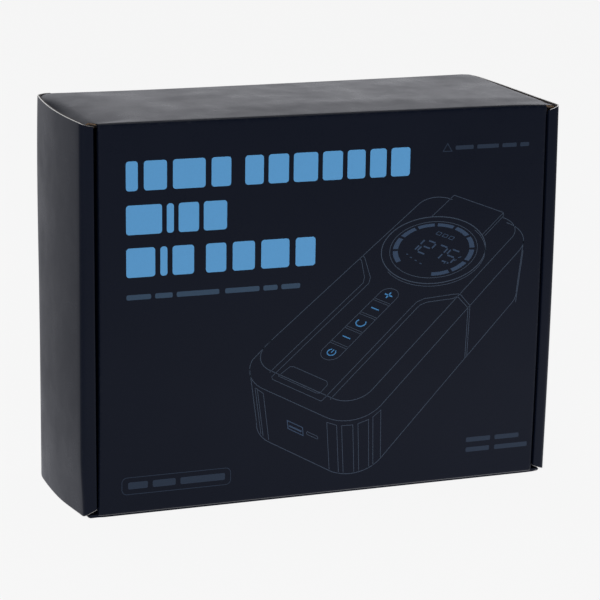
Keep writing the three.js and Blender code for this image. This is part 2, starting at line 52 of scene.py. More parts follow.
HALF = 125.0  # half of the carton's width
TALL = 198.0
FRONT = -48.5  # the lid's outer face
BACK = 48.5
DEPTH = BACK - FRONT
BOARD = 1.5
CREASE = 2.0  # radius of the plain folds
BEHIND = FRONT + CREASE  # where the lid's crease has turned into the top
SEAM = -44.0  # where the crease's strip meets the hinge wall's board
LID_LEFT = 117.0  # the lid's two ends, measured from the middle
LID_RIGHT = 117.9
LID_TOP = 194.0  # where the lid's board meets its crease
WALL_HALF = 123.2
FLAP_OUT = WALL_HALF - 0.4  # outer face of the corner flaps
FLAP_REACH = 60.0  # length of the corner flaps that fold down between the double side walls
ROLL_IN = 119.0  # inner face of the rolled side walls
CORNER = 8.0  # rounding of the carton's two back corners
BEND = 9.0  # radius of the hinge wall's left end
TIGHT = 2.5  # radius that the same end pulls in to at the front
STRIP_ENDS = {"left": (3.4, 1.8), "right": (2.2, 3.2)}  # cut away from each rolled edge's lower and upper end
INK = FRONT - 0.04  # level of the print's skin, just proud of the lid's face
KEYS = ("power", "light", "mode", "minus", "plus")


# ---- Node helpers ----

class Net:
    """Short calls for the nodes of one tree."""

    def __init__(self, tree):
        self.tree = tree
        self.place = tree.nodes.new("ShaderNodeTexCoord")

    def link(self, value, socket):
        if isinstance(value, bpy.types.NodeSocket):
            self.tree.links.new(value, socket)
        elif isinstance(value, tuple) and len(value) == 3 and socket.type == "RGBA":
            socket.default_value = (*value, 1.0)
        else:
            socket.default_value = value

    def make(self, kind, **props):
        node = self.tree.nodes.new(kind)
        for key, value in props.items():
            setattr(node, key, value)
        return node

    def span(self, value, low, high, out_low=0.0, out_high=1.0):
        node = self.make("ShaderNodeMapRange")
        for key, item in zip(("Value", "From Min", "From Max", "To Min", "To Max"),
                             (value, low, high, out_low, out_high)):
            self.link(item, node.inputs[key])
        return node.outputs["Result"]

    def mix(self, share, a, b):
        node = self.make("ShaderNodeMix", data_type="RGBA")
        self.link(share, node.inputs[0])
        self.link(a, node.inputs[6])
        self.link(b, node.inputs[7])
        return node.outputs[2]

    def math(self, kind, a, b=0.0):
        node = self.make("ShaderNodeMath", operation=kind)
        self.link(a, node.inputs[0])
        self.link(b, node.inputs[1])
        return node.outputs[0]

    def split(self, vector):
        node = self.make("ShaderNodeSeparateXYZ")
        self.link(vector, node.inputs[0])
        return node.outputs

    def for_camera(self, seen, other, tint):
        """Strength and colour of a light: seen and white for the camera, other and tinted for other rays."""
        camera = self.make("ShaderNodeLightPath").outputs["Is Camera Ray"]
        strength = self.make("ShaderNodeMix")
        self.link(camera, strength.inputs[0])
        self.link(other, strength.inputs[2])
        self.link(seen, strength.inputs[3])
        return strength.outputs[0], self.mix(camera, tint, (1.0, 1.0, 1.0))


class Paint(Net):
    """A Principled material. Sizes are in millimetres."""

    def __init__(self, name, **sockets):
        self.material = bpy.data.materials.new(name)
        self.material.use_nodes = True
        super().__init__(self.material.node_tree)
        self.shader = self.tree.nodes["Principled BSDF"]
        for key, value in sockets.items():
            self.shader.inputs[key.replace("_", " ")].default_value = value

    def at(self, scale=(1, 1, 1), turn=(0, 0, 0), space="Object"):
        node = self.make("ShaderNodeMapping")
        self.link(self.place.outputs[space], node.inputs["Vector"])
        node.inputs["Scale"].default_value = scale
        node.inputs["Rotation"].default_value = turn
        return node.outputs["Vector"]

    def noise(self, size, detail=3.0, rough=0.55, where=None):
        node = self.make("ShaderNodeTexNoise")
        self.link(where or self.place.outputs["Object"], node.inputs["Vector"])
        node.inputs["Scale"].default_value = 1.0 / (size * MM)
        node.inputs["Detail"].default_value = detail
        node.inputs["Roughness"].default_value = rough
        return node.outputs["Fac"]

    def cells(self, size, feature="F1"):
        node = self.make("ShaderNodeTexVoronoi", feature=feature)
        self.link(self.place.outputs["Object"], node.inputs["Vector"])
        node.inputs["Scale"].default_value = 1.0 / (size * MM)
        return node.outputs["Distance"]

    def waves(self, size, axis="X", warp=0.0):
        node = self.make("ShaderNodeTexWave", wave_type="BANDS", bands_direction=axis)
        self.link(self.place.outputs["Object"], node.inputs["Vector"])
        node.inputs["Scale"].default_value = 0.314 / (size * MM)  # one wave for each size
        node.inputs["Distortion"].default_value = warp
        return node.outputs["Fac"]

    def attribute(self, name):
        return self.make("ShaderNodeAttribute", attribute_name=name).outputs["Fac"]

    def bump(self, height, depth, strength=1.0, below=None):
        node = self.make("ShaderNodeBump")
        self.link(height, node.inputs["Height"])
        node.inputs["Distance"].default_value = depth * MM
        node.inputs["Strength"].default_value = strength
        if below is not None:
            self.link(below, node.inputs["Normal"])
        return node.outputs["Normal"]

    def done(self, color, rough=None, normal=None):
        for value, key in ((color, "Base Color"), (rough, "Roughness"), (normal, "Normal")):
            if value is not None:
                self.link(value, self.shader.inputs[key])
        return self.material


# ---- Materials ----

KRAFT_TONES = (0.30, 0.185, 0.095), (0.47, 0.31, 0.17)


def printed_board():
    """Navy print under a satin film, with the faint washboard of the flutes and scuffed folds."""
    p = Paint("navy_print", IOR=1.2, Roughness=0.3)
    cloud = p.noise(60, 2, 0.5)
    speck = p.noise(0.35, 2, 0.6)
    ink = p.mix(cloud, (0.0028, 0.0046, 0.0108), (0.0038, 0.0059, 0.0134))
    scuff = p.math("MULTIPLY", p.attribute("wear"), p.span(p.noise(1.6, 4, 0.7), 0.52, 0.78))
    color = p.mix(scuff, ink, (0.03, 0.033, 0.04))
    color = p.mix(p.span(p.attribute("wear"), 1.0, 2.0), color, (0.34, 0.33, 0.32))
    smear = p.noise(22, 4, 0.6)
    rough = p.math("ADD", p.span(smear, 0.3, 0.7, 0.25, 0.34), p.span(speck, 0.3, 0.7, -0.02, 0.03))
    flutes = p.waves(1.9, "Z", warp=0.3)
    relief = p.bump(flutes, 0.006, 0.5)
    film = p.bump(p.noise(4.5, 2, 0.5), 0.02, 0.5, relief)
    grain = p.bump(speck, 0.002, 0.35, film)
    return p.done(color, rough, grain)


def kraft_board(name, low, high):
    p = Paint(name, Roughness=0.82)
    fibres = p.noise(1.1, 5, 0.65, p.at((1, 1, 0.16)))
    specks = p.noise(0.5, 3, 0.7)
    base = p.mix(p.span(fibres, 0.3, 0.7), low, high)
    color = p.mix(p.span(specks, 0.66, 0.76), base, tuple(c * 0.45 for c in low))
    flutes = p.bump(p.waves(1.9, "Z", warp=0.4), 0.03, 0.5)
    return p.done(color, p.span(fibres, 0.3, 0.7, 0.72, 0.92), p.bump(fibres, 0.03, 0.6, flutes))


def raw_edge(name, thin, thick):
    """Cut edge of the board: two liners and the waved core between them, drawn from the edge's own UVs."""
    p = Paint(name, Roughness=0.9)
    u, v, _ = p.split(p.at(space="UV"))
    wave = p.math("SINE", p.math("MULTIPLY", u, 2 * math.pi / 1.9))
    line = p.math("ADD", p.math("MULTIPLY", wave, 0.3), 0.5)
    off = p.math("ABSOLUTE", p.math("SUBTRACT", v, line))
    core = p.span(off, 0.10, 0.19, 1.0, 0.0)
    side = p.math("ABSOLUTE", p.math("SUBTRACT", v, 0.5))
    liner = p.span(side, 0.34, 0.39)
    solid = p.math("MAXIMUM", core, liner)
    fibre = p.noise(0.5, 4, 0.7)
    card = p.mix(fibre, thin, thick)
    pressed = p.span(p.math("ABSOLUTE", p.math("SUBTRACT", v, 0.48)), 0.20, 0.34)
    crushed = p.mix(pressed, card, (0.022, 0.021, 0.026))
    # the hollows between the flutes are painted dark brown: painted shade in hollows that the flat edge face
    # lacks
    color = p.mix(p.math("MULTIPLY", p.math("SUBTRACT", 1.0, solid), 0.75), crushed, (0.035, 0.027, 0.02))
    return p.done(color, None, p.bump(p.math("ADD", solid, p.math("MULTIPLY", fibre, 0.3)), 0.25, 0.7))


def pressed_edge():
    """Cut edge of the side walls: a pale outer liner that catches the light, and the rest of the edge painted
    near black as painted shade.
    """
    p = Paint("pressed_edge", Roughness=0.75)
    v = p.split(p.at(space="UV"))[1]
    fibre = p.noise(0.5, 4, 0.7)
    ragged = p.math("ADD", v, p.math("MULTIPLY", p.math("SUBTRACT", p.noise(2.6, 3, 0.6), 0.5), 0.5))
    pale = p.mix(fibre, (0.74, 0.73, 0.71), (0.95, 0.94, 0.92))
    # painted shade: the edge's inner part is near black, far darker than the board's kraft
    dark = p.mix(fibre, (0.012, 0.011, 0.012), (0.045, 0.035, 0.028))
    color = p.mix(p.span(ragged, 0.36, 0.50), pale, dark)
    return p.done(color, p.span(fibre, 0.3, 0.7, 0.65, 0.85), p.bump(fibre, 0.05, 0.6))


def plate_board(name, axis, print_side):
    """For a flat flap: a cut edge all round, kraft liners, and navy print on the side that print_side
    (-1 or +1) names along the flap's own axis."""
    p = Paint(name, IOR=1.3, Roughness=0.5)
    facing = p.split(p.place.outputs["Normal"])[axis]
    fibres = p.noise(1.1, 5, 0.65, p.at((1, 1, 0.2)))
    kraft = p.mix(p.span(fibres, 0.3, 0.7), *KRAFT_TONES)
    # painted shade: the cut edges are painted dark brown, near black in the flute hollows, for edges that lie
    # in the carton's gaps
    edge = p.mix(p.waves(1.9, "X"), (0.012, 0.010, 0.009), (0.07, 0.052, 0.035))
    color = p.mix(p.span(p.math("ABSOLUTE", facing), 0.6, 0.8), edge, kraft)
    inked = p.span(p.math("MULTIPLY", facing, print_side), 0.6, 0.8)
    color = p.mix(inked, color, p.mix(p.noise(40, 2), (0.0035, 0.0075, 0.017), (0.005, 0.009, 0.021)))
    rough = p.span(fibres, 0.3, 0.7, 0.7, 0.9)
    rough = p.math("SUBTRACT", rough, p.math("MULTIPLY", inked, 0.42))
    return p.done(color, rough, p.bump(fibres, 0.02, 0.4))


def ink(name, color, lit=0.0, rough=0.34, ior=1.25):
    p = Paint(name, IOR=ior, Roughness=rough)
    dots = p.noise(0.4, 3, 0.6)
    shade = tuple(c * 0.88 for c in color)
    bright = tuple(min(1.0, c * 1.08) for c in color)
    if lit:
        p.shader.inputs["Emission Color"].default_value = (*color, 1.0)
        p.shader.inputs["Emission Strength"].default_value = lit
    return p.done(p.mix(dots, shade, bright), p.span(dots, 0.3, 0.7, rough - 0.04, rough + 0.06),
                  p.bump(dots, 0.002, 0.3))


def foam():
    p = Paint("white_foam", Roughness=0.9, Sheen_Weight=0.15)
    cell = p.cells(1.3, "SMOOTH_F1")
    tiny = p.noise(0.5, 3, 0.6)
    color = p.mix(p.span(cell, 0.1, 0.6), (0.80, 0.81, 0.82), (0.68, 0.69, 0.70))
    relief = p.bump(cell, 0.12, 0.6)
    # painted shade: both ends of the block, past 106.5 mm from the middle, are painted near black, for the
    # dark beside the carton's walls
    aside = p.math("ABSOLUTE", p.split(p.place.outputs["Object"])[0])
    color = p.mix(p.span(aside, 106.5 * MM, 107 * MM), color, (0.004, 0.004, 0.005))
    return p.done(color, p.span(tiny, 0.3, 0.7, 0.82, 0.95), p.bump(tiny, 0.04, 0.5, relief))


def white_card():
    p = Paint("white_card", Roughness=0.6)
    fibre = p.noise(0.9, 4, 0.6, p.at((0.2, 1, 1)))
    color = p.mix(fibre, (0.72, 0.72, 0.70), (0.82, 0.82, 0.81))
    return p.done(color, p.span(fibre, 0.3, 0.7, 0.5, 0.7), p.bump(fibre, 0.012, 0.5))


def paper(name="manual_paper", layers=False):
    p = Paint(name, Roughness=0.75)
    fibre = p.noise(0.6, 4, 0.6)
    color = p.mix(fibre, (0.76, 0.76, 0.74), (0.86, 0.86, 0.84))
    height = fibre
    if layers:
        leaves = p.waves(0.2, "Y", warp=0.4)
        color = p.mix(p.math("MULTIPLY", leaves, 0.5), color, (0.45, 0.45, 0.44))
        height = leaves
    return p.done(color, None, p.bump(height, 0.02, 0.6))


def moulded(name, dark, light, rough, pits=0.55, depth=0.02, ior=1.5):
    """Moulded plastic with a fine spark-eroded grain."""
    p = Paint(name, IOR=ior, Roughness=rough)
    grain = p.cells(pits, "SMOOTH_F1")
    cloud = p.noise(14, 3, 0.6)
    color = p.mix(cloud, dark, light)
    fine = p.bump(grain, depth, 0.6)
    swirl = p.span(cloud, 0.3, 0.7, rough - 0.05, rough + 0.06)
    return p.done(color, swirl, p.bump(p.noise(3, 2, 0.5), 0.01, 0.3, fine))


def gloss(name, dark, light, rough=0.12, coat=0.5):
    p = Paint(name, IOR=1.5, Roughness=rough, Coat_Weight=coat, Coat_Roughness=0.04)
    smear = p.noise(9, 4, 0.7)
    dust = p.noise(0.25, 2, 0.5)
    color = p.mix(p.span(dust, 0.70, 0.78), p.mix(smear, dark, light), tuple(c + 0.03 for c in light))
    return p.done(color, p.span(smear, 0.3, 0.7, rough - 0.04, rough + 0.08), p.bump(smear, 0.004, 0.3))


def rubber():
    p = Paint("grip_rubber", IOR=1.45, Roughness=0.75, Sheen_Weight=0.2, Sheen_Roughness=0.5)
    ribs = p.waves(2.2, "DIAGONAL")
    dots = p.cells(1.1, "F1")
    color = p.mix(p.noise(6, 3, 0.6), (0.022, 0.028, 0.036), (0.034, 0.042, 0.052))
    low = p.bump(ribs, 0.10, 0.45)
    return p.done(color, p.span(dots, 0.1, 0.5, 0.66, 0.84), p.bump(dots, 0.04, 0.5, low))


def lens():
    p = Paint("screen_glass", IOR=1.5, Roughness=0.04, Transmission_Weight=0.92)
    smear = p.noise(7, 4, 0.7)
    return p.done((0.55, 0.6, 0.66), p.span(smear, 0.35, 0.75, 0.02, 0.10), p.bump(smear, 0.002, 0.2))


def lamp():
    p = Paint("lamp_plastic", IOR=1.49, Roughness=0.16, Transmission_Weight=0.35)
    prisms = p.waves(1.6, "Z")
    color = p.mix(p.noise(3, 3, 0.6), (0.74, 0.77, 0.80), (0.86, 0.88, 0.90))
    return p.done(color, p.span(prisms, 0, 1, 0.12, 0.24), p.bump(prisms, 0.15, 0.7))


def circuit():
    p = Paint("circuit_board", IOR=1.5, Roughness=0.4, Coat_Weight=0.3, Coat_Roughness=0.15)
    tracks = p.make("ShaderNodeTexBrick")
    p.link(p.at(turn=(math.pi / 2, 0, 0)), tracks.inputs["Vector"])
    tracks.inputs["Scale"].default_value = 180
    tracks.inputs["Mortar Size"].default_value = 0.035
    tracks.inputs["Color1"].default_value = (0.012, 0.11, 0.05, 1)
    tracks.inputs["Color2"].default_value = (0.016, 0.13, 0.06, 1)
    tracks.inputs["Mortar"].default_value = (0.03, 0.24, 0.11, 1)
    pads = p.span(p.cells(3.5, "F1"), 0.10, 0.13, 1.0, 0.0)
    color = p.mix(pads, tracks.outputs["Color"], (0.62, 0.56, 0.42))
    return p.done(color, p.span(pads, 0, 1, 0.42, 0.25), p.bump(tracks.outputs["Fac"], 0.03, 0.6))


def metal(name, dark, light, rough, stretch=(0.06, 1, 1)):
    p = Paint(name, Metallic=1.0, Roughness=rough, Anisotropic=0.4)
    brush = p.noise(0.5, 4, 0.6, p.at(stretch))
    stain = p.noise(8, 4, 0.7)
    color = p.mix(p.span(stain, 0.35, 0.75), light, dark)
    return p.done(color, p.span(brush, 0.3, 0.7, rough - 0.08, rough + 0.12), p.bump(brush, 0.008, 0.5))


NAVY = printed_board()
KRAFT = kraft_board("kraft_liner", *KRAFT_TONES)
# near-black copy of the kraft liner: painted shade for the insides of the rolled side walls
SHADED_KRAFT = kraft_board("kraft_inside_rolled_wall_painted_shade", (0.022, 0.017, 0.014), (0.042, 0.031, 0.025))
# darkened copy of the kraft liner: painted shade for the hinge wall's underside
SHADED_UNDER_KRAFT = kraft_board("kraft_under_top_painted_shade", (0.055, 0.036, 0.022), (0.10, 0.066, 0.040))
EDGE = raw_edge("fluted_edge", (0.30, 0.29, 0.27), (0.52, 0.50, 0.46))
BROWN_EDGE = raw_edge("kraft_edge", (0.19, 0.115, 0.056), (0.35, 0.22, 0.12))
PALE_EDGE = pressed_edge()
FLAP_DOWN = plate_board("tuck_flap_board", 2, -1)
FLAP_LEFT = plate_board("left_flap_board", 0, -1)
FLAP_RIGHT = plate_board("right_flap_board", 0, 1)
TITLE_INK = ink("title_ink", (0.100, 0.315, 0.58))
TAG_INK = ink("tagline_ink", (0.031, 0.058, 0.096))
LINE_INK = ink("line_ink", (0.038, 0.054, 0.081))
FAINT_INK = ink("faint_ink", (0.017, 0.028, 0.049))
TICK_INK = ink("tick_ink", (0.030, 0.053, 0.095))
ICON_INK = ink("icon_ink", (0.05, 0.195, 0.40))
KEY_MARK = ink("key_mark", (0.20, 0.50, 0.80), lit=0.15, rough=0.3, ior=1.45)
FOAM = foam()
CARD = white_card()
PAPER = paper()
PAGES = paper("manual_leaves", True)
CASING = moulded("casing_plastic", (0.012, 0.014, 0.018), (0.019, 0.021, 0.026), 0.42)
GLOSS = gloss("gloss_black", (0.004, 0.005, 0.007), (0.008, 0.010, 0.013))
RUBBER = rubber()
LENS = lens()
KEY = moulded("key_plastic", (0.026, 0.034, 0.045), (0.036, 0.045, 0.058), 0.36, 0.4, 0.01)
LAMP = lamp()
CIRCUIT = circuit()
STEEL = metal("steel", (0.38, 0.38, 0.39), (0.60, 0.61, 0.62), 0.28)
BRASS = metal("brass", (0.50, 0.34, 0.13), (0.75, 0.55, 0.25), 0.26, (1, 1, 0.1))
WRAP = gloss("cell_wrap", (0.018, 0.11, 0.33), (0.026, 0.15, 0.42), 0.3, 0.2)
SOCKET = moulded("socket_plastic", (0.02, 0.12, 0.36), (0.03, 0.15, 0.42), 0.4, 0.4, 0.01)
PUMP = moulded("pump_plastic", (0.58, 0.56, 0.50), (0.68, 0.66, 0.60), 0.5)
DISPLAY_LIT = ink("display_lit", (0.12, 0.42, 0.85), lit=0.5, rough=0.2, ior=1.45)


# ---- Mesh helpers ----

def clamp(t):
    return max(0.0, min(1.0, t))


def ease(t):
    t = clamp(t)
    return t * t * (3 - 2 * t)


def near(value, spot, width):
    return max(0.0, 1.0 - abs(value - spot) / width)


def mesh_object(name, verts, faces, materials, slots=None):
    """An object from millimetre points. Edges under 35 degrees are smooth."""
    mesh = bpy.data.meshes.new(name)
    mesh.from_pydata([tuple(c * MM for c in v) for v in verts], [], faces)
    for material in materials:
        mesh.materials.append(material)
    if slots:
        mesh.polygons.foreach_set("material_index", slots)
    mesh.polygons.foreach_set("use_smooth", [True] * len(faces))
    mesh.set_sharp_from_angle(angle=math.radians(35.0))
    mesh.update()
    thing = bpy.data.objects.new(name, mesh)
    scene.collection.objects.link(thing)
    return thing


def arc(center, radius, start, end, steps=6):
    angles = [math.radians(start + (end - start) * k / steps) for k in range(steps + 1)]
    return [(center[0] + radius * math.cos(a), center[1] + radius * math.sin(a)) for a in angles]


def dense(path, step=4.0):
    """The same path with long straight runs divided."""
    out = [path[0]]
    for a, b in zip(path, path[1:]):
        run = math.dist(a, b)
        if run < 1e-6:
            continue
        pieces = max(1, round(run / step))
        out += [(a[0] + (b[0] - a[0]) * k / pieces, a[1] + (b[1] - a[1]) * k / pieces)
                for k in range(1, pieces + 1)]
    return out


def running_length(path):
    along = [0.0]
    for a, b in zip(path, path[1:]):
        along.append(along[-1] + math.dist(a, b))
    return along


def outward(path, turn):
    """The direction out of the board at each path point, for an outside on the left (+1) or right (-1)."""
    runs = [Vector((b[0] - a[0], b[1] - a[1])).normalized() for a, b in zip(path, path[1:])]
    sides = [Vector((-run.y, run.x)) * turn for run in runs]
    return [(before + after).normalized() for before, after in
            zip([Vector((0, 0)), *sides], [*sides, Vector((0, 0))])]


def shares(rows, width):
    """Fractions along a sweep, closer together near both ends so that they can be rounded."""
    close = [d / width for d in (0.0, 0.12, 0.3, 0.55, 0.85, 1.2, 1.8, 3.0, 5.0, 7.5)]
    start = close[-1] + 0.4 / rows
    inner = [k / rows for k in range(1, rows) if start < k / rows < 1 - start]
    return close + inner + [1 - c for c in reversed(close)]


def folded(name, path, turn, reach, place, materials, rows, wear, edges=(2, 2, 2, 2), body="pack",
           extra=None):
    path = dense(path)
    steps = shares(rows, max(high - low for low, high in (reach(a, b) for a, b in path)))
    rows, count = len(steps) - 1, len(steps)
    verts, worn = [], []
    for skin in (0.0, BOARD):
        for (a, b), out in zip(path, outward(path, turn)):
            low, high = reach(a, b)
            for share in steps:
                w = low + (high - low) * share
                spot = Vector(place(a, b, w))
                move = settle(spot) + (extra(spot) if extra else Vector())
                verts.append(Vector(place(a - out.x * skin, b - out.y * skin, w)) + move)
                worn.append(0.0 if skin else wear(a, b, w))
    last, layer, along = len(path) - 1, len(path) * count, running_length(path)
    faces, slots, uvs = [], [], []

    def face(corners, slot, uv, flip):
        faces.append(corners[::-1] if flip else corners)
        slots.append(slot)
        uvs.extend(uv[::-1] if flip else uv)

    for i in range(last):
        here, ahead = i * count, (i + 1) * count
        for k in range(rows):
            q = [here + k, ahead + k, ahead + k + 1, here + k + 1]
            uv = [(along[i], 0), (along[i + 1], 0), (along[i + 1], 1), (along[i], 1)]
            face(q, 0, uv, turn < 0)
            face([layer + v for v in q], 1, uv, turn > 0)
        for k, side in ((0, 0), (rows, 1)):
            q = [here + k, layer + here + k, layer + ahead + k, ahead + k]
            uv = [(along[i], 0), (along[i], 1), (along[i + 1], 1), (along[i + 1], 0)]
            face(q, edges[side], uv, bool(side) != (turn < 0))
    for i, side in ((0, 2), (last, 3)):
        low, high = reach(*path[i])
        here = i * count
        for k in range(rows):
            q = [here + k, layer + here + k, layer + here + k + 1, here + k + 1]
            u0, u1 = (high - low) * steps[k], (high - low) * steps[k + 1]
            face(q, edges[side], [(u0, 0), (u0, 1), (u1, 1), (u1, 0)], (side == 2) != (turn < 0))
    thing = mesh_object(name, verts, faces, materials, slots)
    layer_uv = thing.data.uv_layers.new(name="edge")
    layer_uv.data.foreach_set("uv", [c for uv in uvs for c in uv])
    thing.data.attributes.new("wear", "FLOAT", "POINT").data.foreach_set("value", worn)
    if body:
        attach(thing, body)
    return thing


def stroke(points, width):
    """A flat ribbon with mitred joints along points (x, z) in the print's plane, as (points, faces)."""
    pts = [Vector(p) for p in dense(points, 6.0)]
    closed = (pts[0] - pts[-1]).length < 1e-4
    verts = []
    for i, p in enumerate(pts):
        before = pts[i - 1] if i else (pts[-2] if closed else p)
        after = pts[i + 1] if i < len(pts) - 1 else (pts[1] if closed else p)
        a = (p - before).normalized() if (p - before).length > 1e-6 else (after - p).normalized()
        b = (after - p).normalized() if (after - p).length > 1e-6 else a
        mid = (a + b).normalized() if (a + b).length > 1e-3 else a
        side = Vector((-mid.y, mid.x))
        stretch = 1.0 / max(0.45, abs(side.dot(Vector((-a.y, a.x)))))
        for sign in (1, -1):
            spot = p + side * (sign * width / 2 * stretch)
            verts.append((spot.x, INK, spot.y))
    return verts, [(2 * i, 2 * i + 1, 2 * i + 3, 2 * i + 2) for i in range(len(pts) - 1)]


def rounded(x0, z0, x1, z1, radius, steps=4):
    """A flat rounded rectangle on the lid, as (points, faces)."""
    radius = min(radius, (x1 - x0) / 2, (z1 - z0) / 2)
    ring = []
    for cx, cz, start in ((x1 - radius, z1 - radius, 0), (x0 + radius, z1 - radius, 90),
                          (x0 + radius, z0 + radius, 180), (x1 - radius, z0 + radius, 270)):
        ring += arc((cx, cz), radius, start, start + 90, steps)
    return [(x, INK, z) for x, z in ring], [tuple(range(len(ring)))]


def merged(shapes):
    verts, faces = [], []
    for points, polygons in shapes:
        base = len(verts)
        verts += points
        faces += [tuple(base + i for i in polygon) for polygon in polygons]
    return verts, faces


def front_faced(name, verts, faces, material, slot, body):
    """An object of flat shapes that all face the front."""
    thing = mesh_object(name, verts, faces, [material])
    for polygon in thing.data.polygons:
        if polygon.normal.y > 0:
            polygon.flip()
    thing.data.update()
    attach(thing, body)
    return thing


def printed(name, shapes, material):
    """Print on the lid, which moves with the lid's board."""
    thing = front_faced(name, *merged(shapes), material, "printed_board", "lid")
    for vertex in thing.data.vertices:
        vertex.co += settle(vertex.co / MM, False) * MM
    thing.data.update()


# ---- Carton ----

def settle(p, spread=True):
    """How far the real board has moved from the CAD panel at p: the loaded carton flares, bows and leans a
    little. Without spread it is the lid's own movement only, for print that keeps its place on the lid."""
    x, y, z = p
    side, share, up = math.copysign(1.0, x), min(1.0, abs(x) / HALF), z / TALL
    ahead = clamp((BACK - y) / DEPTH)
    # the front flares towards its top and the back tapers
    wide = x * ((0.004 + 0.009 * up) * ahead - 0.010 * up * (1 - ahead))
    # both side walls bow out, and their back edges pull in near the top and near the floor
    bow = 3.0 + 0.3 * up if side < 0 else 3.0 - 1.8 * up
    wide += side * bow * max(0.0, 1.0 - (y / BEHIND) ** 2) * share ** 8
    wide -= side * 1.1 * up ** 6 * share ** 8 * (1 - ahead) ** 2
    wide -= side * share * 5.5 * max(0.0, 1 - up) ** 1.4 * ease((y - 22.0) / 26.5) ** 2
    # the top rises towards the back, most at the right
    tilt = -0.2 + 1.75 * (0.5 + 0.5 * x / HALF) ** 2 + 0.8 * max(0.0, -x / HALF) ** 1.2
    tilt *= ease((y - FRONT) / DEPTH)
    high = up ** 3 * (tilt - 0.55 * math.sin(math.pi * (y - FRONT) / DEPTH) * max(0.0, x / HALF) ** 3)
    if spread and side > 0:
        wide += (2.1 + 0.9 * math.sin(math.pi * up)) * share ** 6 * (1 - (1 - ahead) * 0.8 * up)
        high -= 1.6 * up ** 4 * share ** 12 * ahead ** 1.5
    elif spread:
        wide -= (0.9 + 1.3 * (1 - up) * ease(up * 6)) * ease((abs(x) - 118.5) / 5.0) * ahead ** 3
    move = Vector((wide, 0.0, high))
    edge = LID_LEFT if side < 0 else LID_RIGHT
    if y < BEHIND + 0.1 and abs(x) < edge + 0.05:
        # the lid's left edge leans out towards the floor, and both its edges are rounded
        if side < 0:
            move.x -= 1.25 * (1 - up) ** 3 * ease((abs(x) - 96.0) / 21.0)
        t = clamp((abs(x) - (edge - 1.3)) / 1.3)
        move.y += ease((197.0 - z) / 6.0) * 1.15 * (1 - math.sqrt(1 - t * t))
    return move


def drop(x, radius):
    """How far a bend of this radius, ending in the hinge wall's left corner flap, has fallen at x."""
    past = min(radius, max(0.0, -x - (FLAP_OUT - radius)))
    return radius - math.sqrt(radius ** 2 - past ** 2)


def top_sag(p, bent=True):
    """The hinge wall climbs a little away from the lid's crease, is flat behind, and dips towards its folded
    ends. bent adds the shape of its left bend, which the lid's crease has no part of."""
    x, y, z = p
    back = max(0.0, y - BEHIND)
    run = 22.0 - 7.0 * ease(x / 110.0)
    climb = back if back < run else run + 3 * (1 - (1 - min(1.0, (back - run) / 6)) ** 2)
    climb *= 0.026 + 0.018 * ease((x + 90.0) / 100.0) + 0.014 * ease(x / 110.0)
    middle = math.sin(math.pi * (BACK - y) / DEPTH) * math.cos(min(1.0, abs(x) / HALF) * math.pi / 2)
    dip = clamp((abs(x) - 92.0) / (FLAP_OUT - 92.0)) * (1.0 if x < 0 else 0.4)
    lift = ease((z - LID_TOP) / 4.0) * (climb - 0.6 + 0.25 * middle)
    lift -= 3.7 * dip * dip * ease((BACK - y) / 75.0) * ease((y - BEHIND) / 9.0)
    if bent:
        # tight at the front, and opening out again at the back, where it meets the side wall's rim
        lift += (drop(x, BEND) - drop(x, TIGHT)) * (1 - ease((y - BEHIND) / 10.0))
        fallen = TALL - z
        lift += 0.95 * max(0.0, min(fallen, BEND) - 0.25 * max(0.0, fallen - BEND)) * ease((y + 6.0) / 40.0)
    return Vector((0.0, 0.0, lift))


def across(a, b, w):
    return (w, a, b)


def upright(a, b, w):
    return (a, b, w)


def lengthways(a, b, w):
    return (a, -w, b)


def end_wall_reach(front):
    """Sweep ends, from back to front, of the hinge wall or tuck wall at a path point: they stop inside the
    rounded back corners, and their corner flaps narrow towards their tips."""
    notch, inner = 1.4, CORNER - BOARD - 0.2

    def reach(a, b):
        past = abs(a) - (HALF - CORNER)
        back = BACK - CREASE if past < 0 else BACK - CORNER + math.sqrt(max(0.0, inner ** 2 - past ** 2))
        fallen = min(abs(b - TALL), abs(b))
        if a < 0 and b > TALL / 2:
            fallen = drop(a, TIGHT) + max(0.0, TALL - BEND - b)
        ahead = front if -LID_LEFT - 0.4 < a < LID_RIGHT + 0.4 else BEHIND + 0.1
        if fallen > notch:
            taper = ease(2 * (fallen - notch) / (FLAP_REACH - notch) - 1)
            ahead = -40.0 + 8.0 * taper
            back -= 4.0 * taper
        return (-min(back, BACK - CREASE), -ahead)

    return reach


def end_wall_path(left, right):
    """Section of an end wall from one corner flap's tip to the other's, along the top from left to right.
    left and right are the radii it bends over with."""
    gap = 0.5  # width of the notch beside the lid
    tip, edge = TALL - FLAP_REACH, min(LID_RIGHT + gap, FLAP_OUT - right)
    return [(-FLAP_OUT, tip), *arc((-FLAP_OUT + left, TALL - left), left, 180, 90, 14), (edge - gap, TALL),
            (edge, TALL), *arc((FLAP_OUT - right, TALL - right), right, 90, 0, 8), (FLAP_OUT, tip)]


def lid_reach(a, b):
    return (-LID_LEFT, LID_RIGHT)


def lid_wear(a, b, w):
    """The lid is worn at its crease, down both edges and most of all at its foot."""
    crease = near(b, TALL, 2.5) * near(a, FRONT, 3.5)
    return max(crease, 0.5 * near(abs(w), LID_LEFT, 1.2), 1.45 * near(b, 1.4, 0.9))


def hinge_wear(a, b, w):
    return 0.7 * near(abs(a), WALL_HALF, 3.5) * near(b, TALL, 3)


def base_wear(a, b, w):
    return near(b, TALL, 3) * near(a, BACK, 3)


def tuck_wear(a, b, w):
    """Torn fibres at the front right corner."""
    return 2.2 if b < 2.5 and 118.2 < a < 122.0 and w > -BEHIND - 0.5 else 0.0


def build_lid():
    path = arc((FRONT + BOARD, 2.4), BOARD, 270, 180) + [(FRONT, LID_TOP)]
    lid = folded("lid_board", path, 1, lid_reach, across, [NAVY, KRAFT, EDGE], 50, lid_wear, (0, 0, 0, 2),
                 body="lid")
    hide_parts("lid_panel")


